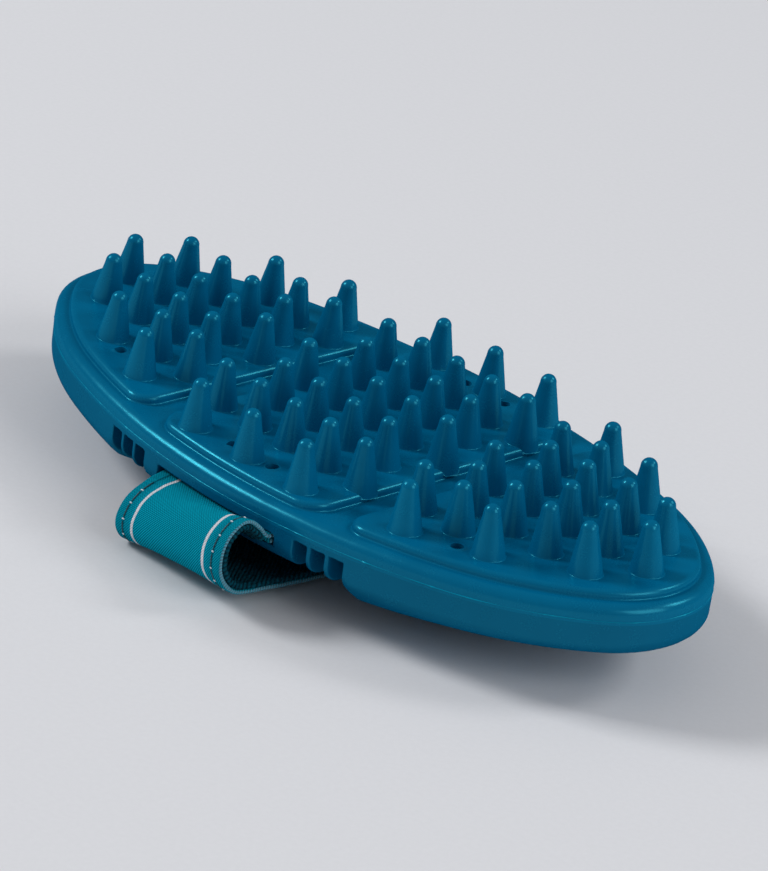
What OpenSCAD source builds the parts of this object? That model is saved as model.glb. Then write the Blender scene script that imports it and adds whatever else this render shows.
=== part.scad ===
// Oval rubber curry brush with a hand strap across its back.
// Teeth point up (+Z), the long side runs along X, the strap crosses the back along Y.
// Z = 0 is the flat surface that the feet of the back and the slack strap lie on.
// All lengths are in millimetres.

/* [Body] */
// Length of the oval body
body_len = 163.4; // [160:0.2:168]
// Width of the oval body
body_wid = 78.6; // [77.6:0.2:80]
// Radius of the rounded ends of the oval
end_r = 21.2; // [20.4:0.2:22]
// Height of the joint between the face moulding and the back shell
seam_z = 16.3; // [16:0.1:16.6]
// Height of the rim around the pads
rim_z = 19.3; // [19:0.1:20]
// Height of the raised pads that carry the teeth
pad_z = 21; // [20.6:0.1:22]
// Radius of the slight lengthwise bend, both ends rising towards the teeth
bend_r = 1660; // [1500:10:2500]

/* [Pads] */
// Width of the shoulder between the outline and the pads
pad_inset = 2.9; // [2.4:0.1:3.4]
// Half length of the middle pad
mid_pad_half = 22; // [21.5:0.1:23]
// Distance of an end pad's straight edge from the middle
end_pad_start = 27.9; // [27:0.1:28.4]
// Corner radius of the pads
pad_corner = 5; // [3:0.5:6]

/* [Teeth] */
// Height of a tooth above its pad
tooth_h = 9.9; // [8:0.1:12]
// Radius of a tooth at its foot
tooth_foot_r = 3.2; // [2.9:0.1:3.4]
// Radius of a tooth's domed tip
tooth_tip_r = 1.6; // [1.3:0.1:1.8]
// Inward lean of a tooth for each millimetre from the middle, in degrees
tooth_lean = 0.071; // [0:0.001:0.08]

/* [Back] */
// Radius of the back across the brush
back_r = 70; // [66:1:76]
// Radius of the back along the brush
rocker_r = 204; // [198:2:230]
// Half length of the recess that the strap crosses
recess_half = 32.4; // [32.4:0.2:34]
// Height of the underside in the recess
recess_z = 9; // [8.8:0.1:9.2]
// Wall thickness of the hollow ends
shell_wall = 3; // [2.4:0.1:3.4]

/* [Strap] */
// Width of the strap
strap_w = 31.5; // [30:0.5:31.5]
// Thickness of the outer ribbon
ribbon_t = 0.9; // [0.7:0.1:1]
// Thickness of the pile lining
lining_t = 1.2; // [0.9:0.1:1.2]
// Outer radius of the roll that the slack strap forms at each side
roll_r = 7; // [6.6:0.1:7.2]
// Distance of the roll's axis from the middle of the brush
roll_y = 43; // [42.6:0.1:43.4]

/* [Anchors] */
// Diameter of the rod that holds each end of the strap
rod_d = 2; // [1.8:0.1:2]
// Length of that rod
rod_len = 36; // [34:0.5:36]
// Diameter of the locating holes in the pads
pin_hole_d = 2.5; // [2.3:0.1:2.8]

/* [Hidden] */
$fn = 64;
BIG_FN = 720;
half_len = body_len / 2;
half_wid = body_wid / 2;
// Directions from the long axis at which the outline's end, shoulder and side arcs meet
end_dir = 43;
side_dir = 71.3;
// Radii of the shoulder and side arcs, solved so that the outline keeps its length and width
a_len = cos(end_dir) - cos(side_dir);
b_len = cos(side_dir);
c_len = half_len - end_r + end_r * cos(end_dir);
a_wid = sin(side_dir) - sin(end_dir);
b_wid = 1 - sin(side_dir);
c_wid = half_wid - end_r * sin(end_dir);
arc_det = a_len * b_wid - b_len * a_wid;
mid_r = (c_len * b_wid - b_len * c_wid) / arc_det;
side_r = (a_len * c_wid - c_len * a_wid) / arc_det;
// Centres of the arcs of one quarter
end_x = half_len - end_r;
mid_x = end_x - (mid_r - end_r) * cos(end_dir);
mid_y = (mid_r - end_r) * sin(end_dir);
side_y = mid_y + (side_r - mid_r) * sin(side_dir);
// Height of the axis that every bent surface is concentric with
bend_axis_z = pad_z + bend_r;
reach = 120;
// Amounts by which an arc is drawn larger, so that it crosses its neighbour at a clear angle
end_lap = 0.05;
mid_lap = 0.15;
// Length over which the shoulder arcs run on under the side arcs
mid_run = 8;
core_t = 1.8;
core_inset = 6;
core_gap = 0.15;
cavity_inset = 8.6;
lobe_wall_x = recess_half + shell_wall;
// Depth that the back's curve is cut off by the feet
foot_flat = 1.2;
crown_drop = recess_half * recess_half / (2 * rocker_r) + foot_flat;
anchor_y = 32;
anchor_z = 12.4;
ply_t = 1;
tail_t = 2.1;
tail_z = 12.85;
slot_h = 2.3;
slot_play = 0.8;
strap_end_y = 40.1;
tail_end_y = 39.9;
stitch_t = 0.3;
stitch_w = 0.5;
stitch_x = 13.2;
// Depth that a tooth's cone goes on below the pad, so the two meet cleanly
tooth_root = 0.8;
pin_z = 18.4;
pin_play = 0.1;
flute_w = 3.2;
flute_depth = 4.5;
flute_top = 14.8;
flute_x = [22.4, 26.45, 30.5];
step_in = 0.9;
step_z = 1.1;
// Rows of the middle pad: [distance from the long axis, first tooth, spacing, teeth]
MID_ROWS = [[0, -19.1, 9.55, 5], [10.6, -14.4, 9.6, 4], [21, -19.2, 9.6, 5], [31.5, -14.5, 14.5, 3]];
// Rows of an end pad: [first tooth, spacing, distances from the long axis]
END_ROWS = [
    [31.7, 9.83, [0, 0, 0, 0, 0]],
    [36.7, 9.63, [9.4, 9.4, 10.2, 10.1]],
    [31.6, 9.95, [17.9, 17.9, 20.4]],
    [36.5, 9.8, [26.4]]
];
// Locating holes of one quarter: [x, y]
PIN_SPOTS = [[5.3, 30.2], [46.8, 22.9]];
BODY_C = [0, 0.39, 0.52];
STRAP_C = [0, 0.5, 0.57];
PILE_C = [0.02, 0.16, 0.22];

function bend(x) = bend_r - sqrt(bend_r * bend_r - x * x);

// Eight-arc oval outline, drawn d inside the body's own outline
module oval(d) {
    side_join = mid_x + (mid_r - d) * cos(side_dir);
    end_join = end_x + (end_r - d) * cos(end_dir);
    intersection() {
        translate([0, -side_y]) circle(r = side_r - d, $fn = BIG_FN);
        translate([0, side_y]) circle(r = side_r - d, $fn = BIG_FN);
        square([2 * side_join, 2 * reach], center = true);
    }
    for (s = [0, 1]) mirror([s, 0]) {
        intersection() {
            shoulder_circle(d, -1);
            shoulder_circle(d, 1);
            translate([side_join - mid_run, -reach]) square([end_join - side_join + mid_run, 2 * reach]);
        }
        translate([end_x - end_lap, 0]) circle(r = end_r - d + end_lap, $fn = 180);
    }
}

module shoulder_circle(d, s) {
    translate([mid_x - mid_lap * cos(end_dir), s * (mid_y + mid_lap * sin(end_dir))])
        circle(r = mid_r - d + mid_lap, $fn = BIG_FN / 2);
}

module oval_prism(d, z0, z1) {
    translate([0, 0, z0]) linear_extrude(z1 - z0) oval(d);
}

// Everything above the bent surface that has height z at the middle
module above(z) {
    translate([0, 0, bend_axis_z]) rotate([90, 0, 0])
        cylinder(r = bend_axis_z - z, h = 2 * reach, center = true, $fn = BIG_FN * 2);
}

module bent_slab(d, z0, z1) {
    difference() {
        intersection() {
            oval_prism(d, z0 - 1, z1 + 6);
            above(z0);
        }
        above(z1);
    }
}

module both_sides() {
    children();
    mirror([0, 1, 0]) children();
}

module four_ways() {
    both_sides() {
        children();
        mirror([1, 0, 0]) children();
    }
}

module round_rect(x0, x1, half_y, r) {
    translate([x0 + r, -half_y]) square([x1 - x0 - 2 * r, 2 * half_y]);
    translate([x0, -half_y + r]) square([x1 - x0, 2 * half_y - 2 * r]);
    for (x = [x0 + r, x1 - r], y = [-half_y + r, half_y - r]) translate([x, y]) circle(r = r);
}

module pad_outlines() {
    intersection() {
        oval(pad_inset);
        union() {
            round_rect(-mid_pad_half, mid_pad_half, half_wid - pad_inset - 0.8, pad_corner);
            for (s = [0, 1]) mirror([s, 0])
                round_rect(end_pad_start, half_len + 20, half_wid - pad_inset - 3, pad_corner);
        }
    }
}

module pads() {
    difference() {
        translate([0, 0, rim_z - 1]) linear_extrude(pad_z - rim_z + 6) pad_outlines();
        above(pad_z);
    }
}

// A tooth with its tip at the origin of the place where it stands
module tooth(x, y) {
    top_r = tooth_tip_r - 0.02;
    cone_h = tooth_h - tooth_tip_r;
    root_r = tooth_foot_r + (tooth_foot_r - top_r) * tooth_root / cone_h;
    translate([x, y, pad_z + tooth_h + bend(x)]) rotate([0, -tooth_lean * x, 0]) {
        translate([0, 0, -tooth_h - tooth_root])
            cylinder(r1 = root_r, r2 = top_r, h = cone_h + tooth_root, $fn = 40);
        translate([0, 0, -tooth_tip_r]) sphere(r = tooth_tip_r, $fn = 40);
    }
}

module teeth() {
    for (row = MID_ROWS, i = [0 : row[3] - 1], s = row[0] == 0 ? [1] : [-1, 1])
        tooth(row[1] + row[2] * i, s * row[0]);
    for (row = END_ROWS, i = [0 : len(row[2]) - 1], e = [-1, 1], s = row[2][i] == 0 ? [1] : [-1, 1])
        tooth(e * (row[0] + row[1] * i), s * row[2][i]);
}

// Face moulding: rim, three pads and 71 teeth in one piece of rubber
module rubber_face() {
    color(BODY_C) difference() {
        union() {
            bent_slab(0, seam_z, rim_z - step_z);
            bent_slab(step_in, seam_z, rim_z);
            pads();
            teeth();
        }
        four_ways() for (p = PIN_SPOTS)
            translate([p[0], p[1], seam_z - 2]) cylinder(d = pin_hole_d, h = 12, $fn = 32);
    }
}

// Stiff plate between the face and the back, with a pin in each locating hole
module core_plate() {
    color("dimgray") {
        bent_slab(core_inset + core_gap, seam_z - core_t, seam_z);
        four_ways() for (p = PIN_SPOTS) translate([p[0], p[1], seam_z - 1])
            cylinder(d = pin_hole_d - pin_play, h = pin_z - seam_z + 1, $fn = 32);
    }
}

// Barrel whose underside is the curve of the back, drawn d inside it
module barrel(d) {
    translate([0, 0, back_r - crown_drop]) rotate([0, 90, 0]) rotate_extrude($fn = 360)
        intersection() {
            translate([back_r - rocker_r, 0]) circle(r = rocker_r - d, $fn = 360);
            translate([0, -100]) square([back_r + 5, 200]);
        }
}

module flutes() {
    four_ways() for (x = flute_x) difference() {
        translate([x - flute_w / 2, -half_wid - 5, -1]) cube([flute_w, 30, flute_top + 1]);
        oval_prism(flute_depth, -2, flute_top + 2);
    }
}

// Pocket and slot that hold one end of the strap
module strap_pocket() {
    slot_w = strap_w + slot_play;
    pocket_d = rod_d + 2 * ply_t + 0.2;
    translate([0, -anchor_y, anchor_z]) {
        rotate([0, 90, 0]) cylinder(d = pocket_d, h = slot_w, center = true);
        translate([-slot_w / 2, -pocket_d / 2, 0]) cube([slot_w, pocket_d, 5]);
        rotate([0, 90, 0]) cylinder(d = rod_d + 0.1, h = rod_len + 0.2, center = true);
        translate([-rod_len / 2 - 0.1, -rod_d / 2 - 0.05, 0]) cube([rod_len + 0.2, rod_d + 0.1, 5]);
    }
    translate([-slot_w / 2, -half_wid - 5, tail_z - slot_h / 2])
        cube([slot_w, half_wid + 5 - anchor_y, slot_h]);
}

// Back shell: two hollow lobes, the recess for the strap, slots and finger flutes
module back_shell() {
    color(BODY_C) difference() {
        intersection() {
            difference() {
                oval_prism(0, 0, seam_z + 4);
                above(seam_z);
            }
            barrel(0);
        }
        difference() {
            translate([-recess_half, -reach, -1]) cube([2 * recess_half, 2 * reach, recess_z + 2]);
            above(recess_z);
        }
        intersection() {
            oval_prism(core_inset, seam_z - core_t - 1, seam_z + 6);
            above(seam_z - core_t);
        }
        intersection() {
            oval_prism(cavity_inset, 1, seam_z);
            barrel(shell_wall);
            union() {
                translate([lobe_wall_x, -reach, shell_wall]) cube([reach, 2 * reach, 30]);
                translate([-lobe_wall_x - reach, -reach, shell_wall]) cube([reach, 2 * reach, 30]);
            }
        }
        both_sides() strap_pocket();
        flutes();
    }
}

module anchor_rod() {
    color("silver") translate([0, -anchor_y, anchor_z]) rotate([0, 90, 0])
        cylinder(d = rod_d, h = rod_len, center = true);
}

module near_anchor_rod() {
    anchor_rod();
}

module far_anchor_rod() {
    mirror([0, 1, 0]) anchor_rod();
}

// End of the strap: one ply wrapped round the rod, both plies in the slot
module strap_hem() {
    hem_r = rod_d / 2 + ply_t;
    color(STRAP_C) difference() {
        union() {
            translate([0, -anchor_y, anchor_z]) rotate([0, 90, 0])
                cylinder(r = hem_r, h = strap_w, center = true);
            translate([-strap_w / 2, -tail_end_y, tail_z - tail_t / 2])
                cube([strap_w, tail_end_y - anchor_y - 0.5, tail_t]);
        }
        translate([0, -anchor_y, anchor_z]) rotate([0, 90, 0])
            cylinder(d = rod_d + 0.1, h = strap_w + 2, center = true);
    }
}

module near_strap_hem() {
    strap_hem();
}

module far_strap_hem() {
    mirror([0, 1, 0]) strap_hem();
}

// Cross-section of one layer of the strap, between depths a and b from its outer face:
// a roll at each side and the flat run between them
module strap_section(a, b) {
    for (s = [0, 1]) mirror([s, 0]) translate([-roll_y, roll_r]) difference() {
        circle(r = roll_r - a, $fn = 96);
        circle(r = roll_r - b, $fn = 96);
        translate([roll_y - strap_end_y, -2 * roll_r]) square(4 * roll_r);
        translate([0, -2 * roll_r]) square(2 * roll_r);
    }
    translate([-roll_y, a]) square([2 * roll_y, b - a]);
}

module strap_layer(a, b, w) {
    rotate([90, 0, 90]) translate([0, 0, -w / 2]) linear_extrude(w) strap_section(a, b);
}

module strap_ribbon() {
    color(STRAP_C) strap_layer(0, ribbon_t, strap_w);
}

module strap_lining() {
    color(PILE_C) strap_layer(ribbon_t, ribbon_t + lining_t, strap_w);
}

// Thread of the two hems, on the lining side
module strap_stitching() {
    a = ribbon_t + lining_t;
    color("teal") for (s = [-1, 1])
        translate([s * stitch_x, 0, 0]) strap_layer(a, a + stitch_t, stitch_w);
}

rubber_face();
back_shell();
core_plate();
near_anchor_rod();
far_anchor_rod();
near_strap_hem();
far_strap_hem();
strap_ribbon();
strap_lining();
strap_stitching();
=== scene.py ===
import math

import bpy
import numpy as np
from mathutils import Matrix, Vector


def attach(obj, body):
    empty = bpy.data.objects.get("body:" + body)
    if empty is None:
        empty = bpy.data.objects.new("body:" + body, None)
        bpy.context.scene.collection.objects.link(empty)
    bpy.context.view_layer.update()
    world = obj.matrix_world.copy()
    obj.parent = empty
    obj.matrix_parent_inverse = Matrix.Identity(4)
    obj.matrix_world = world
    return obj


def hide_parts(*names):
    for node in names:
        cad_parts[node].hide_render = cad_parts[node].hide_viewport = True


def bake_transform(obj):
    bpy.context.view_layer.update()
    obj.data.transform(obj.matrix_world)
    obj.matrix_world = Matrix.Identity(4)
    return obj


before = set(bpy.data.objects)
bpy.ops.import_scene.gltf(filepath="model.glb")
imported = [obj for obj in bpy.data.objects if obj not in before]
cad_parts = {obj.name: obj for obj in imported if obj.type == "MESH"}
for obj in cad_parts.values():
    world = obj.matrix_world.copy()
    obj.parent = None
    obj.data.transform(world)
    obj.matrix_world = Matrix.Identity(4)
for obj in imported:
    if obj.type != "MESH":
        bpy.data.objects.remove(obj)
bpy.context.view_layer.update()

# Every length below is in millimetres and is turned into metres when a mesh is made.
MM = 0.001

# The oval outline. A quarter of it is an end arc, a shoulder arc and a side arc, each touching the
# next where the outward normal has the direction END_DIR or SIDE_DIR.
HALF_LEN = 81.7
HALF_WID = 39.3
END_R = 21.2
END_DIR = math.radians(43.0)
SIDE_DIR = math.radians(71.3)
END_X = HALF_LEN - END_R
STEP_X = math.cos(END_DIR), math.cos(SIDE_DIR)
STEP_Y = math.sin(END_DIR), math.sin(SIDE_DIR)
# The two radii follow from the side arc's centre lying on x = 0 and its crown on y = HALF_WID:
# (MID_R - END_R) * STEP_X[0] + (SIDE_R - MID_R) * STEP_X[1] = END_X
# SIDE_R - (MID_R - END_R) * STEP_Y[0] - (SIDE_R - MID_R) * STEP_Y[1] = HALF_WID
MID_R, SIDE_R = np.linalg.solve(
    [[STEP_X[0] - STEP_X[1], STEP_X[1]], [STEP_Y[1] - STEP_Y[0], 1 - STEP_Y[1]]],
    [END_X + END_R * STEP_X[0], HALF_WID - END_R * STEP_Y[0]],
)
MID_X = END_X - (MID_R - END_R) * STEP_X[0]
MID_Y = (MID_R - END_R) * STEP_Y[0]
SIDE_Y = SIDE_R - HALF_WID

# Heights
SEAM_Z = 16.3
RIM_Z = 19.3
PAD_Z = 21.0
BEND_R = 1660.0
BEND_AXIS_Z = PAD_Z + BEND_R

# Rim: radius of its rounded edge, and how far the wall stands proud of the shell and laps down over it
RIM_EDGE_R = 2.1
SEAM_PROUD = 0.02
SEAM_LAP = 0.6

# Pads
PAD_INSET = 2.9
MID_HALF = 22.0
END_START = 27.9
PAD_CORNER = 5.0
PAD_EDGE_R = 1.1
PAD_FOOT_R = 0.35
PAD_CENTRE = 50.0

# Teeth: [distance from the long axis, first tooth, spacing, teeth] and
# [first tooth, spacing, distances from the long axis]
TOOTH_H = 9.9
FOOT_R = 3.2
TIP_R = 1.6
TOOTH_LEAN = math.radians(0.071)
TOOTH_FILLET = 0.2
FILLET_TURN = 76
MID_ROWS = [(0, -19.1, 9.55, 5), (10.6, -14.4, 9.6, 4), (21, -19.2, 9.6, 5), (31.5, -14.5, 14.5, 3)]
END_ROWS = [
    (31.7, 9.83, (0, 0, 0, 0, 0)),
    (36.7, 9.63, (9.4, 9.4, 10.2, 10.1)),
    (31.6, 9.95, (17.9, 17.9, 20.4)),
    (36.5, 9.8, (26.4,)),
]

# Locating holes of one quarter, their radius and their visible depth
PIN_SPOTS = [(5.3, 30.2), (46.8, 22.9)]
PIN_R = 1.25
HOLE_DEPTH = 2.7

# Back shell
BACK_R = 70.0
ROCKER_R = 204.0
RECESS_HALF = 32.4
RECESS_Z = 9.0
FOOT_FLAT = 1.2
FLUTE_X = (22.4, 26.45, 30.5)
FLUTE_HALF = 1.6
FLUTE_DEPTH = 4.5
FLUTE_TOP = 14.8
# Rounding of the wall's lower edge, of the lobes beside the recess and of the feet
WALL_ROUND = 3.5
LOBE_ROUND = 1.6
FOOT_ROUND = 1.5
SLOT_HALF = 16.15
SLOT_Z = 12.85
SLOT_HALF_H = 1.15
SLOT_DEPTH = 8.5

# Strap
STRAP_HALF = 15.75
RIBBON_T = 0.9
LINING_T = 1.2
STITCH_X = 13.3
STITCH_STEP = 3.3
STRIPE_X = (-10.6, 10.6)

# Tint of the rubber's gloss and its share of the surface, the same at every angle
GLOSS = (0.10, 0.83, 1.0, 1.0)
GLOSS_SHARE = 0.055

# Camera in metres: its place, the axis that points back from the subject, its right, and its lens
CAMERA_AT = (0.4917, -0.5188, 0.3415)
CAMERA_BACK = (0.6246, -0.6639, 0.4112)
CAMERA_RIGHT = (0.6789, 0.7219, 0.1341)
CAMERA_LENS = 194.53
# Softboxes: name, direction from the brush, size in metres, watts
LAMPS = [
    ("key", (-0.68, -0.41, 0.60), 0.7, 27.0),
    ("fill", (0.43, 0.64, 0.64), 0.6, 10.0),
    ("fill_wide", (0.86, 0.08, 0.50), 1.2, 16.0),
]
LAMP_DISTANCE = 2.2
LAMP_AIM_Z = 0.02
SKY = (0.93, 0.95, 1.0, 1)
SKY_STRENGTH = 0.30


# ---------------------------------------------------------------- mesh tools

def add_mesh(name, verts, quads=None, tris=None, material=None, uv=None, sharp=None, normals=None):
    """A new mesh object from millimetre vertices."""
    verts = np.asarray(verts, float).reshape(-1, 3) * MM
    quads = np.zeros((0, 4), int) if quads is None else np.asarray(quads, int).reshape(-1, 4)
    tris = np.zeros((0, 3), int) if tris is None else np.asarray(tris, int).reshape(-1, 3)
    loops = np.concatenate([quads.ravel(), tris.ravel()])
    starts = np.concatenate([np.arange(len(quads)) * 4, len(quads) * 4 + np.arange(len(tris)) * 3])
    me = bpy.data.meshes.new(name)
    me.vertices.add(len(verts))
    me.vertices.foreach_set("co", verts.astype(np.float32).ravel())
    me.loops.add(len(loops))
    me.loops.foreach_set("vertex_index", loops.astype(np.int32))
    me.polygons.add(len(starts))
    me.polygons.foreach_set("loop_start", starts.astype(np.int32))
    me.update(calc_edges=True)
    if uv is not None:
        layer = me.uv_layers.new(name="UVMap")
        layer.data.foreach_set("uv", np.asarray(uv, np.float32)[loops].ravel())
    me.validate()
    me.shade_smooth()
    if sharp is not None:
        me.set_sharp_from_angle(angle=math.radians(sharp))
    if normals is not None:
        me.normals_split_custom_set_from_vertices(np.asarray(normals, float).tolist())
    if material is not None:
        me.materials.append(material)
    obj = bpy.data.objects.new(name, me)
    bpy.context.scene.collection.objects.link(obj)
    return obj


class Pile:
    """Vertices and faces of several islands gathered into one mesh."""

    def __init__(self):
        self.verts, self.quads, self.tris, self.uv, self.count = [], [], [], [], 0

    def add(self, verts, quads=None, tris=None, uv=None):
        verts = np.asarray(verts, float).reshape(-1, 3)
        self.verts.append(verts)
        if quads is not None:
            self.quads.append(np.asarray(quads, int).reshape(-1, 4) + self.count)
        if tris is not None:
            self.tris.append(np.asarray(tris, int).reshape(-1, 3) + self.count)
        self.uv.append(np.zeros((len(verts), 2)) if uv is None else np.asarray(uv, float).reshape(-1, 2))
        self.count += len(verts)

    def make(self, name, material, sharp=None, with_uv=False):
        return add_mesh(
            name,
            np.vstack(self.verts),
            np.vstack(self.quads) if self.quads else None,
            np.vstack(self.tris) if self.tris else None,
            material,
            np.vstack(self.uv) if with_uv else None,
            sharp,
        )


def ring_quads(rings, n, flip=False):
    """Quads between successive closed rings of n vertices."""
    r = np.arange(rings - 1)[:, None] * n
    i = np.arange(n)[None, :]
    j = (i + 1) % n
    q = np.stack([r + i, r + j, r + n + j, r + n + i], axis=-1).reshape(-1, 4)
    return q[:, ::-1] if flip else q


def fan(first, n, centre, flip=False):
    i = np.arange(n)
    t = np.stack([first + i, first + (i + 1) % n, np.full(n, centre)], axis=-1)
    return t[:, ::-1] if flip else t


def smooth_noise(t, seed, waves, size):
    """A smooth wandering value round a closed line, t from 0 to 1."""
    rng = np.random.default_rng(seed)
    out = np.zeros_like(t)
    for k in range(1, waves + 1):
        out += rng.normal() * np.sin(2 * np.pi * (k * t + rng.random())) / math.sqrt(waves)
    return out * size


# ---------------------------------------------------------------- the oval

def outline(n):
    """Points of the outline, their outward normals, and the share of the way round."""
    phi = np.linspace(0, 2 * np.pi, 40001)

    def arc_of(a):
        first = np.arctan2(np.abs(np.sin(a)), np.abs(np.cos(a)))
        return [first < END_DIR, first < SIDE_DIR]

    radius = np.select(arc_of(phi), [END_R, MID_R], SIDE_R)
    length = np.concatenate([[0], np.cumsum((radius[1:] + radius[:-1]) / 2 * np.diff(phi))])
    t = np.arange(n) / n
    a = np.interp(t * length[-1], length, phi)
    normal = np.stack([np.cos(a), np.sin(a)], axis=-1)
    which = arc_of(a)
    sx, sy = np.sign(normal[:, 0]), np.sign(normal[:, 1])
    centre_x = np.select(which, [sx * END_X, sx * MID_X], 0.0)
    centre_y = np.select(which, [0.0 * sy, -sy * MID_Y], -sy * SIDE_Y)
    r = np.select(which, [END_R, MID_R], SIDE_R)
    return np.stack([centre_x, centre_y], axis=-1) + r[:, None] * normal, normal, t


def lift(x, z):
    """Height at x of the bent surface that has height z at the middle."""
    return BEND_AXIS_Z - np.sqrt((BEND_AXIS_Z - z) ** 2 - x ** 2)


def rmax(a, b, r):
    """Intersection of two distances with a rounded corner of radius r."""
    return np.minimum(np.maximum(a, b), -r) + np.hypot(np.maximum(a + r, 0), np.maximum(b + r, 0))


def rmin(a, b, r):
    return -rmax(-a, -b, r)


def oval(x, y):
    """Distance outside the oval outline, negative inside."""
    ax, ay = np.abs(x), np.abs(y)
    at_end = ay * STEP_X[0] < (ax - END_X) * STEP_Y[0]
    at_side = (ay + MID_Y) * STEP_X[1] > (ax - MID_X) * STEP_Y[1]
    return np.select(
        [at_end, at_side],
        [np.hypot(ax - END_X, ay) - END_R, np.hypot(ax, ay + SIDE_Y) - SIDE_R],
        np.hypot(ax - MID_X, ay + MID_Y) - MID_R,
    )


# ---------------------------------------------------------------- materials

def nodes_of(name):
    m = bpy.data.materials.new(name)
    m.use_nodes = True
    tree = m.node_tree
    shader = tree.nodes["Principled BSDF"]
    return m, tree, shader


def link(tree, a, b):
    tree.links.new(a, b)


def noise(tree, source, scale, detail=2.0, rough=0.5):
    n = tree.nodes.new("ShaderNodeTexNoise")
    n.inputs["Scale"].default_value = scale
    n.inputs["Detail"].default_value = detail
    n.inputs["Roughness"].default_value = rough
    link(tree, source, n.inputs["Vector"])
    return n.outputs["Fac"]


def ramp(tree, value, low, high, to_low, to_high):
    n = tree.nodes.new("ShaderNodeMapRange")
    n.inputs["From Min"].default_value = low
    n.inputs["From Max"].default_value = high
    n.inputs["To Min"].default_value = to_low
    n.inputs["To Max"].default_value = to_high
    link(tree, value, n.inputs["Value"])
    return n.outputs["Result"]


def mix_colour(tree, fac, a, b):
    n = tree.nodes.new("ShaderNodeMix")
    n.data_type = "RGBA"
    for socket, value in ((n.inputs["Factor"], fac), (n.inputs["A"], a), (n.inputs["B"], b)):
        if hasattr(value, "links"):
            link(tree, value, socket)
        elif isinstance(value, (int, float)):
            socket.default_value = value
        else:
            socket.default_value = (*value, 1.0)
    return n.outputs["Result"]


def calc(tree, operation, a, b=None, c=None):
    n = tree.nodes.new("ShaderNodeMath")
    n.operation = operation
    for i, value in enumerate((a, b, c)):
        if value is None:
            continue
        if hasattr(value, "links"):
            link(tree, value, n.inputs[i])
        else:
            n.inputs[i].default_value = value
    return n.outputs[0]


def bump(tree, height, strength, distance, below=None):
    n = tree.nodes.new("ShaderNodeBump")
    n.inputs["Strength"].default_value = strength
    n.inputs["Distance"].default_value = distance
    link(tree, height, n.inputs["Height"])
    if below is not None:
        link(tree, below, n.inputs["Normal"])
    return n.outputs["Normal"]


def object_place(tree):
    return tree.nodes.new("ShaderNodeTexCoord").outputs["Object"]


def rubber_material(name, light, dark, waviness=0.0005):
    """Satin rubber: a matt body under an evenly tinted gloss, with waves of a depth in metres."""
    m, tree, shader = nodes_of(name)
    place = object_place(tree)
    patches = noise(tree, place, 45, 3)
    grain = noise(tree, place, 2600, 2)
    colour = mix_colour(tree, ramp(tree, patches, 0.35, 0.65, 0.0, 1.0), dark, light)
    link(tree, colour, shader.inputs["Base Color"])
    uneven = noise(tree, place, 260, 3)
    broad = ramp(tree, uneven, 0.3, 0.7, 0.22, 0.29)
    rough = calc(tree, "ADD", broad, ramp(tree, grain, 0.3, 0.7, -0.02, 0.02))
    link(tree, rough, shader.inputs["Roughness"])
    shader.inputs["IOR"].default_value = 1.0
    shader.inputs["Specular IOR Level"].default_value = 0.0
    wave = bump(tree, noise(tree, place, 140, 2), 0.25, waviness)
    fine = bump(tree, grain, 0.10, 0.00005, wave)
    link(tree, fine, shader.inputs["Normal"])
    gloss = tree.nodes.new("ShaderNodeBsdfGlossy")
    gloss.inputs["Color"].default_value = GLOSS
    link(tree, rough, gloss.inputs["Roughness"])
    link(tree, fine, gloss.inputs["Normal"])
    both = tree.nodes.new("ShaderNodeMixShader")
    both.inputs[0].default_value = GLOSS_SHARE
    out = next(n for n in tree.nodes if n.type == "OUTPUT_MATERIAL")
    link(tree, shader.outputs[0], both.inputs[1])
    link(tree, gloss.outputs[0], both.inputs[2])
    link(tree, both.outputs[0], out.inputs["Surface"])
    return m


def split_uv(tree):
    uv = tree.nodes.new("ShaderNodeUVMap")
    uv.uv_map = "UVMap"
    parts = tree.nodes.new("ShaderNodeSeparateXYZ")
    link(tree, uv.outputs["UV"], parts.inputs["Vector"])
    return parts.outputs["X"], parts.outputs["Y"]


def weave_height(tree, u, v, pitch):
    """Over and under of a plain weave, u and v in millimetres."""
    k = 2 * math.pi / pitch
    warp = calc(tree, "SINE", calc(tree, "MULTIPLY", u, k))
    weft = calc(tree, "SINE", calc(tree, "MULTIPLY", v, k))
    across = calc(tree, "MULTIPLY", warp, weft)
    slant = calc(tree, "MULTIPLY", calc(tree, "ADD", u, v), k / 2)
    ribs = calc(tree, "ABSOLUTE", calc(tree, "SINE", slant))
    return calc(tree, "MULTIPLY_ADD", across, 0.5, ribs)


def near_line(tree, u, at, half, soft):
    """1 within half of the line u = at, falling to 0 over soft."""
    away = calc(tree, "ABSOLUTE", calc(tree, "SUBTRACT", u, at))
    return ramp(tree, away, half, half + soft, 1.0, 0.0)


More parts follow.
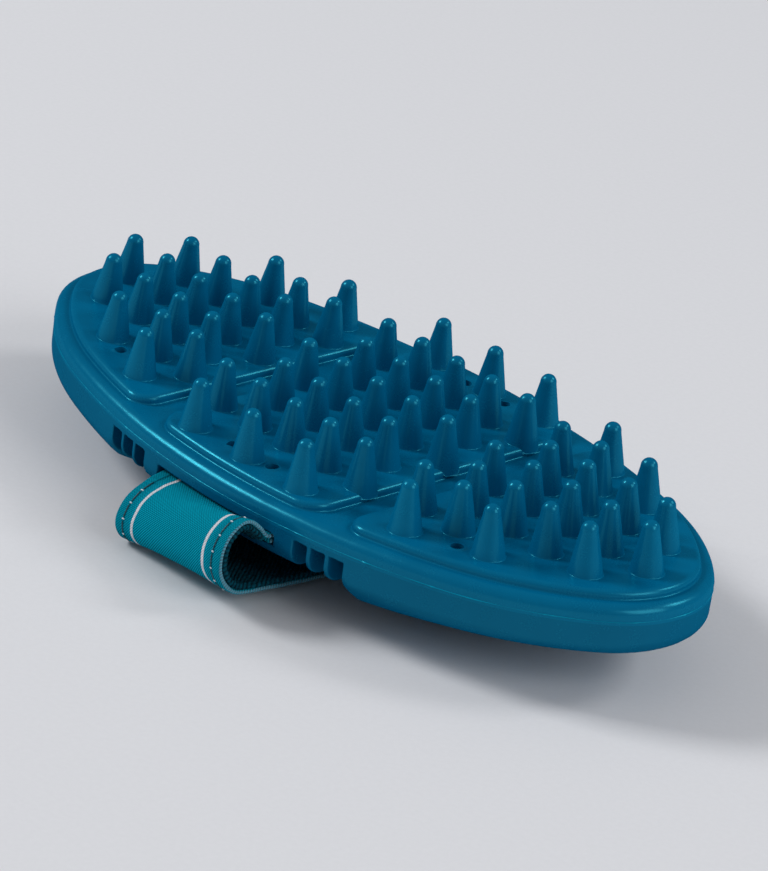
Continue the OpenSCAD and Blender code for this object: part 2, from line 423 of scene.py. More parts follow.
def ribbon_material():
    m, tree, shader = nodes_of("woven_ribbon")
    u, v = split_uv(tree)
    place = object_place(tree)
    wander = ramp(tree, noise(tree, place, 160, 2), 0.3, 0.7, -0.12, 0.12)
    bent_u = calc(tree, "ADD", u, wander)
    weave = weave_height(tree, u, v, 0.62)
    fuzz = noise(tree, place, 3800, 3)
    # Painted shade: the low parts of the weave are coloured much darker than the raised threads, as shade
    # between the threads.
    raised = ramp(tree, weave, 0.0, 1.3, 0.0, 1.0)
    tone = mix_colour(tree, raised, (0.0, 0.105, 0.175), (0.003, 0.45, 0.62))
    away = calc(tree, "ABSOLUTE", bent_u)
    hem = ramp(tree, away, STRIPE_X[1] + 0.9, STRIPE_X[1] + 1.5, 0.0, 1.0)
    tone = mix_colour(tree, calc(tree, "MULTIPLY", hem, 0.3), tone, (0.0, 0.14, 0.20))
    tone = mix_colour(tree, ramp(tree, fuzz, 0.35, 0.75, 0.0, 0.22), tone, (0.01, 0.36, 0.48))
    # Painted shade: the sunk line along each stitch row is darkened, as shade in the groove.
    sunk = near_line(tree, calc(tree, "ABSOLUTE", u), STITCH_X, 0.12, 0.3)
    tone = mix_colour(tree, calc(tree, "MULTIPLY", sunk, 0.6), tone, (0.0, 0.035, 0.06))
    stripes = None
    for at in STRIPE_X:
        one = near_line(tree, bent_u, at, 0.3, 0.09)
        stripes = one if stripes is None else calc(tree, "MAXIMUM", stripes, one)
    fleck = ramp(tree, fuzz, 0.3, 0.7, 0.0, 1.0)
    white = mix_colour(tree, fleck, (0.70, 0.70, 0.76), (0.90, 0.90, 0.94))
    tone = mix_colour(tree, stripes, tone, white)
    selvedge = near_line(tree, away, STRAP_HALF, 0.1, 0.16)
    tone = mix_colour(tree, calc(tree, "MULTIPLY", selvedge, 0.35), tone, (0.30, 0.36, 0.42))
    link(tree, tone, shader.inputs["Base Color"])
    shader.inputs["Roughness"].default_value = 0.85
    shader.inputs["Specular IOR Level"].default_value = 0.0
    groove = calc(tree, "MULTIPLY_ADD", sunk, -1.2, weave)
    first = bump(tree, groove, 0.8, 0.00016)
    link(tree, bump(tree, fuzz, 0.25, 0.00006, first), shader.inputs["Normal"])
    return m


def pile_material():
    m, tree, shader = nodes_of("looped_pile_shaded")
    u, v = split_uv(tree)
    place = object_place(tree)
    loops = noise(tree, place, 1500, 3, 0.6)
    waffle = weave_height(tree, u, v, 1.1)
    height = calc(tree, "MULTIPLY_ADD", loops, 2.2, calc(tree, "MULTIPLY", waffle, 0.45))
    # Painted shade: the lining's teal is painted near black, darkest between the loops, as the shade under
    # the brush and between the loops.
    raised = ramp(tree, height, 0.7, 1.9, 0.0, 1.0)
    tone = mix_colour(tree, raised, (0.0, 0.008, 0.015), (0.0, 0.075, 0.115))
    link(tree, tone, shader.inputs["Base Color"])
    shader.inputs["Roughness"].default_value = 0.9
    shader.inputs["Specular IOR Level"].default_value = 0.08
    link(tree, bump(tree, height, 0.9, 0.0004), shader.inputs["Normal"])
    return m


def thread_material(name, low, high):
    m, tree, shader = nodes_of(name)
    place = object_place(tree)
    strands = noise(tree, place, 5200, 2)
    tone = mix_colour(tree, ramp(tree, strands, 0.35, 0.65, 0.0, 1.0), low, high)
    link(tree, tone, shader.inputs["Base Color"])
    shader.inputs["Roughness"].default_value = 0.5
    link(tree, bump(tree, strands, 0.5, 0.00006), shader.inputs["Normal"])
    return m


def plastic_material():
    m, tree, shader = nodes_of("core_nylon")
    place = object_place(tree)
    mottled = noise(tree, place, 90, 3)
    tone = mix_colour(tree, mottled, (0.03, 0.032, 0.036), (0.07, 0.074, 0.08))
    link(tree, tone, shader.inputs["Base Color"])
    link(tree, ramp(tree, noise(tree, place, 700, 3), 0.3, 0.7, 0.42, 0.6), shader.inputs["Roughness"])
    link(tree, bump(tree, noise(tree, place, 1900, 2), 0.2, 0.00008), shader.inputs["Normal"])
    return m


def steel_material():
    m, tree, shader = nodes_of("drawn_steel")
    place = object_place(tree)
    stretch = tree.nodes.new("ShaderNodeMapping")
    stretch.inputs["Scale"].default_value = (60.0, 3000.0, 3000.0)
    link(tree, place, stretch.inputs["Vector"])
    lines = noise(tree, stretch.outputs["Vector"], 1.0, 2)
    shader.inputs["Base Color"].default_value = (0.56, 0.57, 0.58, 1)
    shader.inputs["Metallic"].default_value = 1.0
    link(tree, ramp(tree, lines, 0.3, 0.7, 0.22, 0.4), shader.inputs["Roughness"])
    link(tree, bump(tree, lines, 0.2, 0.00003), shader.inputs["Normal"])
    return m


def floor_material():
    m, tree, shader = nodes_of("studio_paper")
    place = object_place(tree)
    mottle = noise(tree, place, 900, 3)
    tone = mix_colour(tree, mottle, (0.730, 0.735, 0.760), (0.770, 0.775, 0.800))
    link(tree, tone, shader.inputs["Base Color"])
    shader.inputs["Roughness"].default_value = 0.75
    shader.inputs["Specular IOR Level"].default_value = 0.25
    link(tree, bump(tree, noise(tree, place, 2200, 3), 0.15, 0.00008), shader.inputs["Normal"])
    return m


RUBBER = rubber_material("satin_rubber", (0.0, 0.122, 0.252), (0.0, 0.107, 0.228))
# The back shell is the same rubber as the face, painted darker: painted shade on its walls and underside.
RUBBER_BACK_SHADED = rubber_material(
    "satin_rubber_back_shaded", (0.0, 0.094, 0.202), (0.0, 0.082, 0.183), waviness=0.00015)
# The seam flash is the same rubber painted about twice as light: a painted highlight along the joint.
FLASH_LIT = rubber_material("flash_rubber_lit", (0.004, 0.26, 0.42), (0.0, 0.21, 0.35))
RIBBON = ribbon_material()
PILE_SHADED = pile_material()
DARK_THREAD = thread_material("dark_thread", (0.0, 0.03, 0.05), (0.0, 0.08, 0.11))
PALE_THREAD = thread_material("pale_thread", (0.42, 0.52, 0.58), (0.72, 0.78, 0.82))


# ---------------------------------------------------------------- the rubber face

def arc(cx, cz, r, a0, a1, steps):
    a = np.radians(np.linspace(a0, a1, steps))
    return [(cx + r * math.cos(x), cz + r * math.sin(x)) for x in a]


def rim_and_floor(pile):
    """The wall above the joint, the rounded rim and the floor between the pads."""
    n = 900
    points, normals, _ = outline(n)
    edge_z = RIM_Z - RIM_EDGE_R
    profile = [(6.0, SEAM_Z + 0.02), (0.6, SEAM_Z + 0.02), (0.3, SEAM_Z - SEAM_LAP),
               (-SEAM_PROUD, SEAM_Z - SEAM_LAP), (-SEAM_PROUD, SEAM_Z),
               (-SEAM_PROUD / 2, edge_z - 0.3), (0.0, edge_z)]
    profile += arc(RIM_EDGE_R, edge_z, RIM_EDGE_R, 180, 90, 12)[1:]
    profile += [(2.5, RIM_Z), (PAD_INSET, RIM_Z)]
    rings = []
    for d, z in profile:
        xy = points - normals * d
        rings.append(np.column_stack([xy, lift(xy[:, 0], z)]))
    last = rings[-1][:, :2]
    for s in np.linspace(1, 0, 16)[1:-1]:
        xy = last * s
        rings.append(np.column_stack([xy, lift(xy[:, 0], RIM_Z)]))
    count = len(rings)
    verts = np.vstack(rings + [[[0, 0, RIM_Z]]])
    pile.add(verts, ring_quads(count, n), fan((count - 1) * n, n, count * n))


def seam_flash(pile):
    """The thin uneven thread of rubber squeezed out along the joint."""
    n, seg = 1800, 8
    points, normals, t = outline(n)
    rng = np.random.default_rng(5)
    size = 0.075 + smooth_noise(t, 3, 40, 0.04)
    for at in rng.random(70):
        size += 0.11 * rng.random() * np.exp(-((t - at) / 0.0012) ** 2)
    size = np.clip(size, 0.02, 0.24)
    height = SEAM_Z + 0.04 + smooth_noise(t, 8, 12, 0.03)
    rings = []
    for a in np.arange(seg) / seg * 2 * np.pi:
        xy = points + normals * (0.01 + size * math.cos(a))[:, None]
        rings.append(np.column_stack([xy, lift(xy[:, 0], height + 0.7 * size * math.sin(a))]))
    pile.add(np.vstack(rings + rings[:1]), ring_quads(seg + 1, n, True))


def pad_distance(which, x, y):
    if which == 0:
        return rmax(oval(x, y) + PAD_INSET, np.abs(x) - MID_HALF, PAD_CORNER)
    return rmax(oval(x, y) + PAD_INSET, END_START - which * x, PAD_CORNER)


def contour(which, inset, angles):
    """Where the pad's distance is -inset, along rays from the pad's centre."""
    cx = which * PAD_CENTRE
    near, far = np.zeros(len(angles)), np.full(len(angles), 60.0)
    for _ in range(40):
        mid = (near + far) / 2
        outside = pad_distance(which, cx + mid * np.cos(angles), mid * np.sin(angles)) > -inset
        near, far = np.where(outside, near, mid), np.where(outside, mid, far)
    return np.column_stack([cx + near * np.cos(angles), near * np.sin(angles)])


def even_angles(which, n):
    fine = np.linspace(0, 2 * np.pi, 4001)
    p = contour(which, 0.0, fine)
    length = np.concatenate([[0], np.cumsum(np.hypot(*np.diff(p, axis=0).T))])
    return np.interp(np.arange(n) / n * length[-1], length, fine)


def pad_mesh(pile, which):
    n = 420
    angles = even_angles(which, n)
    top = PAD_EDGE_R
    profile = [(-PAD_FOOT_R - 0.3, RIM_Z - 0.02), (-PAD_FOOT_R, RIM_Z + 0.005)]
    profile += arc(-PAD_FOOT_R, RIM_Z + PAD_FOOT_R, PAD_FOOT_R, -90, 0, 6)[1:]
    profile += arc(top, PAD_Z - top, top, 180, 90, 12)
    rings = []
    for d, z in profile:
        xy = contour(which, d, angles)
        rings.append(np.column_stack([xy, lift(xy[:, 0], z)]))
    centre = np.array([which * PAD_CENTRE, 0.0])
    last = rings[-1][:, :2]
    for s in np.linspace(1, 0, 18)[1:-1]:
        xy = centre + (last - centre) * s
        rings.append(np.column_stack([xy, lift(xy[:, 0], PAD_Z)]))
    count = len(rings)
    verts = np.vstack(rings + [[[centre[0], 0, float(lift(centre[0], PAD_Z))]]])
    pile.add(verts, ring_quads(count, n), fan((count - 1) * n, n, count * n))


def pad_top(x, y):
    """Height of the pads' surface, with their rounded edges."""
    which = np.where(np.abs(x) < PAD_CENTRE / 2, 0, np.sign(x))
    d = np.where(which == 0, pad_distance(0, x, y), pad_distance(1, np.abs(x), y))
    past = np.clip(PAD_EDGE_R + d, 0, PAD_EDGE_R)
    return lift(x, PAD_Z) - (PAD_EDGE_R - np.sqrt(PAD_EDGE_R ** 2 - past ** 2))


def tooth_mesh(pile, x, y, rng):
    """One tooth: a small fillet at its foot, a cone and a dome."""
    seg = 36
    theta = np.arange(seg) / seg * 2 * np.pi
    lean = TOOTH_LEAN * x
    tip_z = float(lift(x, PAD_Z)) + TOOTH_H
    rings = []
    foot_x = x + TOOTH_H * math.sin(lean)
    for a in np.radians(np.linspace(0, FILLET_TURN, 8)):
        r = FOOT_R + TOOTH_FILLET * (1 - math.sin(a))
        px, py = foot_x + r * np.cos(theta), y + r * np.sin(theta)
        sunk = 0.004 if a == 0 else 0
        rings.append(np.column_stack([px, py, pad_top(px, py) + TOOTH_FILLET * (1 - math.cos(a)) - sunk]))
    start = TOOTH_FILLET * (1 - math.cos(math.radians(FILLET_TURN)))
    cone_h = TOOTH_H - TIP_R
    narrow = TIP_R - 0.02 - FOOT_R
    cone = [(FOOT_R + narrow * s, start + (cone_h - start) * s) for s in np.linspace(0.06, 0.96, 7)]
    dome = [(TIP_R * math.cos(a), cone_h + TIP_R * math.sin(a)) for a in np.radians(np.linspace(10, 82, 8))]
    c, s = math.cos(lean), math.sin(lean)
    grow = 1 + 0.012 * rng.normal()
    for r, h in cone + dome:
        down = h - TOOTH_H
        lx, lz = r * grow * np.cos(theta), np.full(seg, down)
        across = y + r * grow * np.sin(theta)
        rings.append(np.column_stack([x + c * lx - s * lz, across, tip_z + s * lx + c * lz]))
    count = len(rings)
    verts = np.vstack(rings + [[[x, y, tip_z]]])
    pile.add(verts, ring_quads(count, seg), fan((count - 1) * seg, seg, count * seg))


def tooth_places():
    out = []
    for y, first, step, many in MID_ROWS:
        for i in range(many):
            for side in ((1,) if y == 0 else (-1, 1)):
                out.append((first + step * i, side * y))
    for first, step, ys in END_ROWS:
        for i, y in enumerate(ys):
            for end in (-1, 1):
                for side in ((1,) if y == 0 else (-1, 1)):
                    out.append((end * (first + step * i), side * y))
    return out


def hole_places():
    return [(sx * x, sy * y) for x, y in PIN_SPOTS for sx in (-1, 1) for sy in (-1, 1)]


def hole_lip(pile, x, y, rng):
    """Thin raised skin that the mould left round a hole, and the hole's own wall."""
    seg = 40
    theta = np.arange(seg) / seg * 2 * np.pi
    t = theta / (2 * np.pi)
    wobble = smooth_noise(t, int(1000 * rng.random()), 5, 0.07)
    tall = 0.16 + np.clip(smooth_noise(t, int(1000 * rng.random()), 4, 0.09), -0.1, 0.2)
    rings = []
    for r, h in ((2.05, -0.01), (1.75, 0.25), (1.52, 0.8), (1.38, 1.0), (1.24, 0.85)):
        px, py = x + (r + wobble) * np.cos(theta), y + (r + wobble) * np.sin(theta)
        rings.append(np.column_stack([px, py, lift(px, PAD_Z) + h * tall]))
    for r, h in ((PIN_R - 0.02, -0.25), (PIN_R - 0.02, -HOLE_DEPTH)):
        px, py = x + r * np.cos(theta), y + r * np.sin(theta)
        rings.append(np.column_stack([px, py, lift(px, PAD_Z) + h]))
    count = len(rings)
    verts = np.vstack(rings + [[[x, y, float(lift(x, PAD_Z)) - HOLE_DEPTH]]])
    pile.add(verts, ring_quads(count, seg), fan((count - 1) * seg, seg, count * seg))


def bore(obj, places, radius, z0, z1):
    """Cuts plain round holes through obj."""
    cutter = Pile()
    seg = 40
    theta = np.arange(seg) / seg * 2 * np.pi
    for x, y in places:
        low = np.column_stack([x + radius * np.cos(theta), y + radius * np.sin(theta), np.full(seg, z0)])
        high = low + [0, 0, z1 - z0]
        verts = np.vstack([low, high, [[x, y, z0]], [[x, y, z1]]])
        caps = np.vstack([fan(0, seg, 2 * seg, True), fan(seg, seg, 2 * seg + 1)])
        cutter.add(verts, ring_quads(2, seg), caps)
    tool = cutter.make("cutter", None)
    mod = obj.modifiers.new("bore", "BOOLEAN")
    mod.operation = "DIFFERENCE"
    mod.solver = "EXACT"
    mod.object = tool
    graph = bpy.context.evaluated_depsgraph_get()
    made = bpy.data.meshes.new_from_object(obj.evaluated_get(graph))
    obj.modifiers.remove(mod)
    obj.data = made
    bpy.data.objects.remove(tool)


def make_face():
    rng = np.random.default_rng(11)
    pads = Pile()
    for which in (-1, 0, 1):
        pad_mesh(pads, which)
    pad_obj = pads.make("pad_tops", RUBBER, sharp=50)
    rest = Pile()
    rim_and_floor(rest)
    for x, y in tooth_places():
        tooth_mesh(rest, x, y, rng)
    for x, y in hole_places():
        hole_lip(rest, x, y, rng)
    face = rest.make("rubber_face_moulding", RUBBER, sharp=60)
    flash = Pile()
    seam_flash(flash)
    return face, pad_obj, flash.make("seam_flash", FLASH_LIT)


# ---------------------------------------------------------------- the back shell

def back_shell_distance(x, y, z):
    """Distance outside the back shell, which is drawn without the hollows that nobody sees."""
    axis_z = BACK_R - (RECESS_HALF ** 2 / (2 * ROCKER_R) + FOOT_FLAT)
    barrel = np.hypot(np.hypot(y, z - axis_z) + ROCKER_R - BACK_R, x) - ROCKER_R
    lobes = rmax(RECESS_HALF - np.abs(x), rmax(barrel, -z, FOOT_ROUND), LOBE_ROUND)
    under = rmin(lift(x, RECESS_Z) - z, lobes, FOOT_ROUND)
    body = rmax(oval(x, y), under, WALL_ROUND)
    body = rmax(body, z - lift(x, SEAM_Z), 0.05)
    for at in FLUTE_X:
        flute = rmax(np.abs(np.abs(x) - at) - FLUTE_HALF, -(oval(x, y) + FLUTE_DEPTH), 0.4)
        flute = rmax(flute, z - FLUTE_TOP, 0.3)
        body = rmax(body, -flute, 0.22)
    slot = rmax(np.abs(x) - SLOT_HALF, np.abs(z - SLOT_Z) - SLOT_HALF_H, 0.3)
    slot = rmax(slot, -(oval(x, y) + SLOT_DEPTH), 0.3)
    return rmax(body, -slot, 0.3)


def skin_of(distance, axes):
    """Closed surface where distance is 0, as quads, by joining the crossed cells of a grid."""
    grid = np.meshgrid(*axes, indexing="ij")
    f = distance(*grid)
    inside = f < 0
    corners = [(i, j, k) for i in (0, 1) for j in (0, 1) for k in (0, 1)]
    nx, ny, nz = (s - 1 for s in f.shape)

    def corner(a, c):
        return a[c[0]:c[0] + nx, c[1]:c[1] + ny, c[2]:c[2] + nz]

    total = sum(corner(inside, c).astype(np.int8) for c in corners)
    mixed = (total > 0) & (total < 8)
    index = np.full(mixed.shape, -1)
    index[mixed] = np.arange(mixed.sum())
    cell = np.argwhere(mixed)
    value = np.stack([corner(f, c)[mixed] for c in corners], axis=-1)
    place = np.zeros((len(cell), 3))
    hits = np.zeros(len(cell))
    at = np.stack([
        np.stack([axes[d][cell[:, d] + c[d]] for d in range(3)], axis=-1) for c in corners
    ], axis=1)
    for a in range(8):
        for b in range(a + 1, 8):
            if sum(abs(p - q) for p, q in zip(corners[a], corners[b])) != 1:
                continue
            va, vb = value[:, a], value[:, b]
            cross = (va < 0) != (vb < 0)
            t = np.where(cross, va / np.where(cross, va - vb, 1), 0)[:, None]
            place += np.where(cross[:, None], at[:, a] * (1 - t) + at[:, b] * t, 0)
            hits += cross
    place /= hits[:, None]
    quads = []
    for d in range(3):
        e, g = (d + 1) % 3, (d + 2) % 3
        lo = [slice(None)] * 3
        hi = [slice(None)] * 3
        lo[d], hi[d] = slice(0, -1), slice(1, None)
        lo[e] = hi[e] = slice(1, -1)
        lo[g] = hi[g] = slice(1, -1)
        a, b = inside[tuple(lo)], inside[tuple(hi)]
        for flip, where in ((False, a & ~b), (True, ~a & b)):
            hit = np.argwhere(where)
            base = hit.copy()
            base[:, e] += 1
            base[:, g] += 1
            four = []
            for de, dg in ((-1, -1), (0, -1), (0, 0), (-1, 0)):
                c = base.copy()
                c[:, e] += de
                c[:, g] += dg
                four.append(index[c[:, 0], c[:, 1], c[:, 2]])
            q = np.stack(four, axis=-1)
            quads.append(q[:, ::-1] if flip else q)
    quads = np.vstack(quads)

    def slope(p, h):
        return np.stack([
            distance(*(p + h * np.eye(3)[d]).T) - distance(*(p - h * np.eye(3)[d]).T) for d in range(3)
        ], axis=-1) / (2 * h)

    for _ in range(4):
        g = slope(place, 0.02)
        place -= distance(*place.T)[:, None] * g / np.maximum((g ** 2).sum(1), 0.2)[:, None]
    g = slope(place, 0.06)
    return place, quads, g / np.maximum(np.linalg.norm(g, axis=1), 1e-6)[:, None]


def steps(*runs):
    """Grid positions from (start, end, spacing) runs."""
    out = []
    for a, b, h in runs:
        out.append(np.linspace(a, b, max(int(round((b - a) / h)), 1), endpoint=False))
    out.append([runs[-1][1]])
    return np.concatenate(out)


def make_back():
    side = steps((-20.4, 20.4, 0.75))
    right = steps((20.4, 33.0, 0.2), (33.0, 38.0, 0.45), (38.0, 84.0, 0.8))
    xs = np.concatenate([-right[::-1][:-1], side, right[1:]])
    ys = steps((-41.5, -31.0, 0.45), (-31.0, 31.0, 0.9), (31.0, 41.5, 0.45))
    zs = steps((-0.9, 7.4, 0.45), (7.4, 19.4, 0.32))
    place, quads, normals = skin_of(back_shell_distance, (xs, ys, zs))
    return add_mesh("back_shell_moulding", place, quads, None, RUBBER_BACK_SHADED, normals=normals)


# ---------------------------------------------------------------- the strap

# Outer surface of the near half in the plane across the strap, (y, z), at its two edges.
# Both start in the slot, roll outwards and down, and run in under the brush.
EDGE_LOW = [
    (-33.6, 13.75), (-36.4, 13.35), (-38.8, 12.85), (-41.3, 12.2), (-44.4, 10.8),
    (-46.8, 8.6), (-48.0, 6.0), (-47.8, 3.4), (-46.4, 1.3), (-43.9, 0.2),
    (-40.5, 0.05), (-35.0, 0.05), (-25.0, 0.05), (-12.0, 0.08), (0.0, 0.1),
]
EDGE_HIGH = [
    (-33.6, 13.85), (-37.0, 13.85), (-39.0, 14.0), (-40.8, 15.9), (-43.4, 17.9),
    (-46.3, 18.0), (-49.0, 16.0), (-50.5, 12.6), (-50.3, 9.0), (-48.6, 5.6),
    (-45.6, 3.2), (-40.5, 2.4), (-30.0, 1.5), (-14.0, 1.0), (0.0, 0.9),
]
EDGE_FAR = [
    (-33.6, 13.75), (-36.4, 13.4), (-38.8, 12.85), (-41.4, 11.8), (-44.5, 10.2),
    (-47.0, 8.0), (-48.3, 5.6), (-48.1, 3.4), (-46.6, 1.6), (-44.0, 0.9),
    (-40.5, 0.8), (-35.0, 0.8), (-25.0, 0.85), (-12.0, 0.88), (0.0, 0.9),
]
# Where the lining starts in the slot's mouth, at the low edge and at the high edge of either side
MOUTH_LOW = (-39.45, 12.75)
MOUTH_HIGH = (-39.35, 14.3)
MOUTH_FAR = (-39.4, 12.6)
# The ribbon's way round the rod
WRAP = [(-38.4, 11.9), (-36.5, 11.85), (-34.4, 11.4), (-33.2, 10.75), (-31.9, 10.5), (-30.7, 11.0),
        (-30.1, 12.4), (-30.7, 13.8), (-31.9, 14.2)]


def spline(points, per=24):
    """Smooth line through the points."""
    p = np.asarray(points, float)
    p = np.vstack([2 * p[0] - p[1], p, 2 * p[-1] - p[-2]])
    t = np.linspace(0, 1, per, endpoint=False)[:, None]
    out = []
    for a, b, c, d in zip(p[:-3], p[1:-2], p[2:-1], p[3:]):
        second, third = 2 * a - 5 * b + 4 * c - d, 3 * b - a - 3 * c + d
        out.append(0.5 * (2 * b + (c - a) * t + second * t ** 2 + third * t ** 3))
    return np.vstack(out + [p[-2:-1]])


def even(line, n):
    """n points evenly along a line, and the line's length."""
    length = np.concatenate([[0], np.cumsum(np.hypot(*np.diff(line, axis=0).T))])
    s = np.linspace(0, length[-1], n)
    return np.column_stack([np.interp(s, length, line[:, 0]), np.interp(s, length, line[:, 1])]), length[-1]


def strap_lines(u, with_wrap, n, far=False):
    """Outer line of the strap at each u across it: points, inward normals, length."""
    high = EDGE_FAR if far else EDGE_HIGH
    points, inward, lengths = [], [], []
    for x in u:
        w = (x + STRAP_HALF) / (2 * STRAP_HALF)
        mid = (1 - w) * np.array(EDGE_LOW) + w * np.array(high)
        if not with_wrap:
            mid = mid[2:]
            mid[0] = (1 - w) * np.array(MOUTH_LOW) + w * np.array(MOUTH_FAR if far else MOUTH_HIGH)
        line = spline(np.vstack([WRAP, mid]) if with_wrap else mid)
        p, length = even(line, n)
        d = np.gradient(p, axis=0)
        d /= np.linalg.norm(d, axis=1)[:, None]
        points.append(p)
        inward.append(np.column_stack([-d[:, 1], d[:, 0]]))
        lengths.append(length)
    return np.array(points), np.array(inward), np.array(lengths)


def strap_sheet(name, with_wrap, depth0, depth1, nu, ns, material, far, rough=0.0, seed=1):
    """One closed layer of the strap with rounded edges. far mirrors it across the brush."""
    t = depth1 - depth0
    r = t / 2
    flat_half = STRAP_HALF - r
    inner = np.linspace(-flat_half, flat_half, nu)
    bend = np.radians(np.linspace(0, 90, 6))[1:]
    u = np.concatenate([-(flat_half + r * np.sin(bend))[::-1], inner, flat_half + r * np.sin(bend)])
    thick = np.concatenate([np.cos(bend)[::-1], np.ones(nu), np.cos(bend)]) * r
    p, inward, lengths = strap_lines(u, with_wrap, ns, far)
    rng = np.random.default_rng(seed)
    s = np.linspace(0, 1, ns)
    middle = (depth0 + depth1) / 2
    wobble = np.zeros((len(u), ns))
    for _ in range(14):
        ku, ks = rng.normal(size=2) * (0.16, 22.0)
        wobble += 0.018 * np.sin(ku * u[:, None] + ks * s[None, :] + rng.random() * 6.3)
    edge = 1 + 0.0045 * np.sin(s * 31 + seed) + 0.003 * np.sin(s * 83 + 2 * seed)
    sides = []
    for sign in (-1, 1):
        depth = middle + sign * thick[:, None] + wobble
        if rough and sign > 0:
            bumps = rng.normal(size=depth.shape)
            bumps = (bumps + np.roll(bumps, 1, 0) + np.roll(bumps, 1, 1) + np.roll(bumps, 1, (0, 1))) / 4
            depth = depth + rough * bumps * (thick[:, None] / r)
        yz = p + inward * depth[:, :, None]
        x = u[:, None] * edge[None, :]
        sides.append(np.dstack([x, yz]))
    outer, innerside = sides
    loop = np.concatenate([outer, innerside[::-1][1:-1]], axis=0)
    loop[:, :, 2] = np.maximum(loop[:, :, 2], 0.03)
    n = loop.shape[0]
    verts = loop.transpose(1, 0, 2).reshape(-1, 3)
    mean_len = lengths.mean()
    uu = np.concatenate([u, u[::-1][1:-1]])
    uv = np.stack(np.broadcast_arrays(uu[None, :], (s * mean_len)[:, None]), axis=-1).reshape(-1, 2)
    quads = ring_quads(ns, n)
    verts = np.vstack([verts, loop[:, 0].mean(0), loop[:, -1].mean(0)])
    uv = np.vstack([uv, [[0, 0]], [[0, mean_len]]])
    tris = np.vstack([fan(0, n, ns * n, True), fan((ns - 1) * n, n, ns * n + 1)])
    if far:
        verts = verts * [1, -1, 1]
        quads, tris = quads[:, ::-1], tris[:, ::-1]
    obj = add_mesh(name, verts, quads, tris, material, uv, sharp=70)
    return obj, mean_len


def capsule(pile, centre, along, across, out, length, r_across, r_out):
    """A small rounded bead or stitch lying along a direction."""
    seg = 10
    theta = np.arange(seg) / seg * 2 * np.pi
    rings = []
    for a in np.radians((-70, -35, 0, 35, 70)):
        c = centre + along * (length / 2) * math.sin(a)
        k = math.cos(a) ** 0.6
        ring = np.outer(np.cos(theta), across) * r_across + np.outer(np.sin(theta), out) * r_out
        rings.append(c + k * ring)
    count = len(rings)
    verts = np.vstack(rings + [[centre - along * length / 2], [centre + along * length / 2]])
    tris = np.vstack([fan(0, seg, count * seg, True), fan((count - 1) * seg, seg, count * seg + 1)])
    pile.add(verts, ring_quads(count, seg), tris)


def strap_stitches(far):
    """Hem thread on both faces of the strap: dark runs with pale knots between them."""
    dark, pale = Pile(), Pile()
    rng = np.random.default_rng(21 + far)
    flip = np.array([1, -1 if far else 1, 1])
    many = 400
    lining_end = 18
    for x in (-STITCH_X, STITCH_X):
        p, inward, lengths = strap_lines(np.array([x]), False, many, far)
        p, inward, length = p[0], inward[0], lengths[0]
        at = 1.8
        while at < length - 3:
            for depth, facing in ((-0.02, -1), (RIBBON_T + LINING_T + 0.05, 1)):
                if facing > 0 and at > lining_end:
                    continue
                a = int((at + 0.2) / length * (many - 1))
                b = int(min((at + STITCH_STEP) / length * (many - 1), many - 2))
                mid = (a + b) // 2
                ends = [np.array([x, *(p[q] + inward[q] * depth)]) for q in (a, b)]
                centre = np.array([x, *(p[mid] + inward[mid] * depth)])
                along = ends[1] - ends[0]
                size = np.linalg.norm(along)
                along /= size
                out = np.array([0, *(inward[mid] * facing)])
                capsule(dark, centre * flip, along * flip, np.array([1.0, 0, 0]), out * flip,
                        size * 0.86, 0.13, 0.12)
                c = np.array([x + 0.05 * rng.normal(), *(p[b] + inward[b] * depth)])
                out = np.array([0, *(inward[b] * facing)])
                along = np.array([1.0, 0.15 * rng.normal(), 0])
                along /= np.linalg.norm(along)
                side = np.cross(out, along)
                capsule(pale, c * flip, along * flip, side * flip, out * flip, 0.62, 0.17, 0.16)
            at += STITCH_STEP
    for pile in (dark, pale):
        for verts in pile.verts:
            verts[:, 2] = np.maximum(verts[:, 2], 0.02)
    return dark, pale


def make_strap():
    made = {}
    for far in (False, True):
        tag = "far" if far else "near"
        ribbon, length = strap_sheet(
            f"strap_ribbon_{tag}", True, 0.0, RIBBON_T, 54, 300, RIBBON, far, seed=3 + far)
        lining, lining_length = strap_sheet(
            f"strap_lining_{tag}", False, RIBBON_T + 0.03, RIBBON_T + LINING_T, 70, 230, PILE_SHADED, far,
            rough=0.22, seed=7 + far)
        dark, pale = strap_stitches(far)
        made[tag] = {
            "ribbon": (ribbon, length),
            "lining": (lining, lining_length),
            "dark": dark.make(f"hem_thread_{tag}", DARK_THREAD),
            "pale": pale.make(f"hem_knots_{tag}", PALE_THREAD),
        }
    return made


# ---------------------------------------------------------------- put it together

face, pads, flash = make_face()
bore(pads, hole_places(), PIN_R + 0.1, 12.0, 26.0)
back = make_back()
strap = make_strap()

for piece in (face, pads, flash, back):
    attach(piece, "brush")
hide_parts("rubber_face")
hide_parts("back_shell")

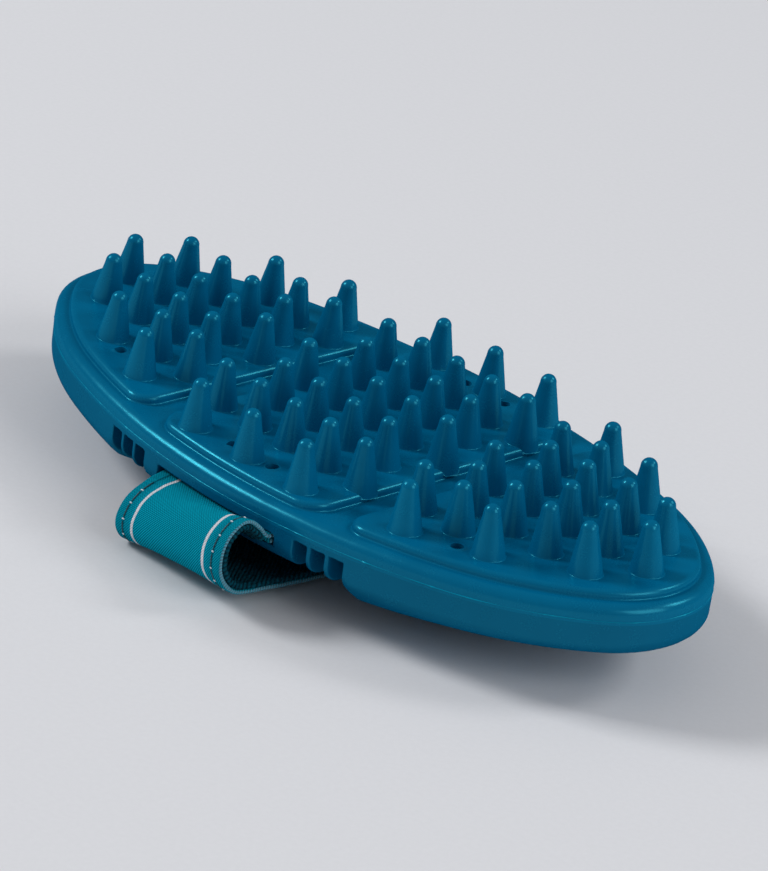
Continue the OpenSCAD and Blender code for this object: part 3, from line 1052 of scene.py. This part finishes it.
for tag, sign in (("near", 1), ("far", -1)):
    parts = strap[tag]
    ribbon, length = parts["ribbon"]
    lining, lining_length = parts["lining"]
    for piece, slot in ((ribbon, "strap_weave"), (lining, "strap_pile"),
                        (parts["dark"], "thread"), (parts["pale"], "thread")):
        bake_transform(piece)
    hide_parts("strap_ribbon", f"{tag}_strap_hem")
    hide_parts("strap_lining")
    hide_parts("strap_stitching")

for node, material in (("core_plate", plastic_material()), ("near_anchor_rod", steel_material()),
                       ("far_anchor_rod", steel_material())):
    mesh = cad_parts[node].data
    mesh.materials.clear()
    mesh.materials.append(material)


# ---------------------------------------------------------------- studio

def make_floor():
    size = 2500.0
    corners = [(-size, -size, 0), (size, -size, 0), (size, size, 0), (-size, size, 0)]
    add_mesh("floor", corners, [[0, 1, 2, 3]], None, floor_material())


def softbox(name, direction, size, power):
    light = bpy.data.lights.new(name, "AREA")
    light.shape = "RECTANGLE"
    light.size = light.size_y = size
    light.energy = power
    lamp = bpy.data.objects.new(name, light)
    bpy.context.scene.collection.objects.link(lamp)
    d = Vector(direction).normalized()
    lamp.location = Vector((0, 0, LAMP_AIM_Z)) + d * LAMP_DISTANCE
    lamp.rotation_mode = "QUATERNION"
    lamp.rotation_quaternion = d.to_track_quat("Z", "Y")


def make_camera():
    cam = bpy.data.cameras.new("camera")
    cam.sensor_fit = "HORIZONTAL"
    cam.sensor_width = 36.0
    cam.lens = CAMERA_LENS
    cam.clip_start, cam.clip_end = 0.05, 20.0
    obj = bpy.data.objects.new("camera", cam)
    bpy.context.scene.collection.objects.link(obj)
    back_axis = Vector(CAMERA_BACK).normalized()
    right = Vector(CAMERA_RIGHT)
    right = (right - back_axis * right.dot(back_axis)).normalized()
    up = back_axis.cross(right)
    rows = [[right[i], up[i], back_axis[i], 0] for i in range(3)] + [[0, 0, 0, 1]]
    obj.matrix_world = Matrix.Translation(CAMERA_AT) @ Matrix(rows)
    bpy.context.scene.camera = obj


def make_world():
    world = bpy.data.worlds.new("studio")
    world.use_nodes = True
    bg = world.node_tree.nodes["Background"]
    bg.inputs["Color"].default_value = SKY
    bg.inputs["Strength"].default_value = SKY_STRENGTH
    bpy.context.scene.world = world


make_floor()
for lamp_row in LAMPS:
    softbox(*lamp_row)
make_world()
make_camera()
bpy.context.scene.view_settings.view_transform = "Standard"
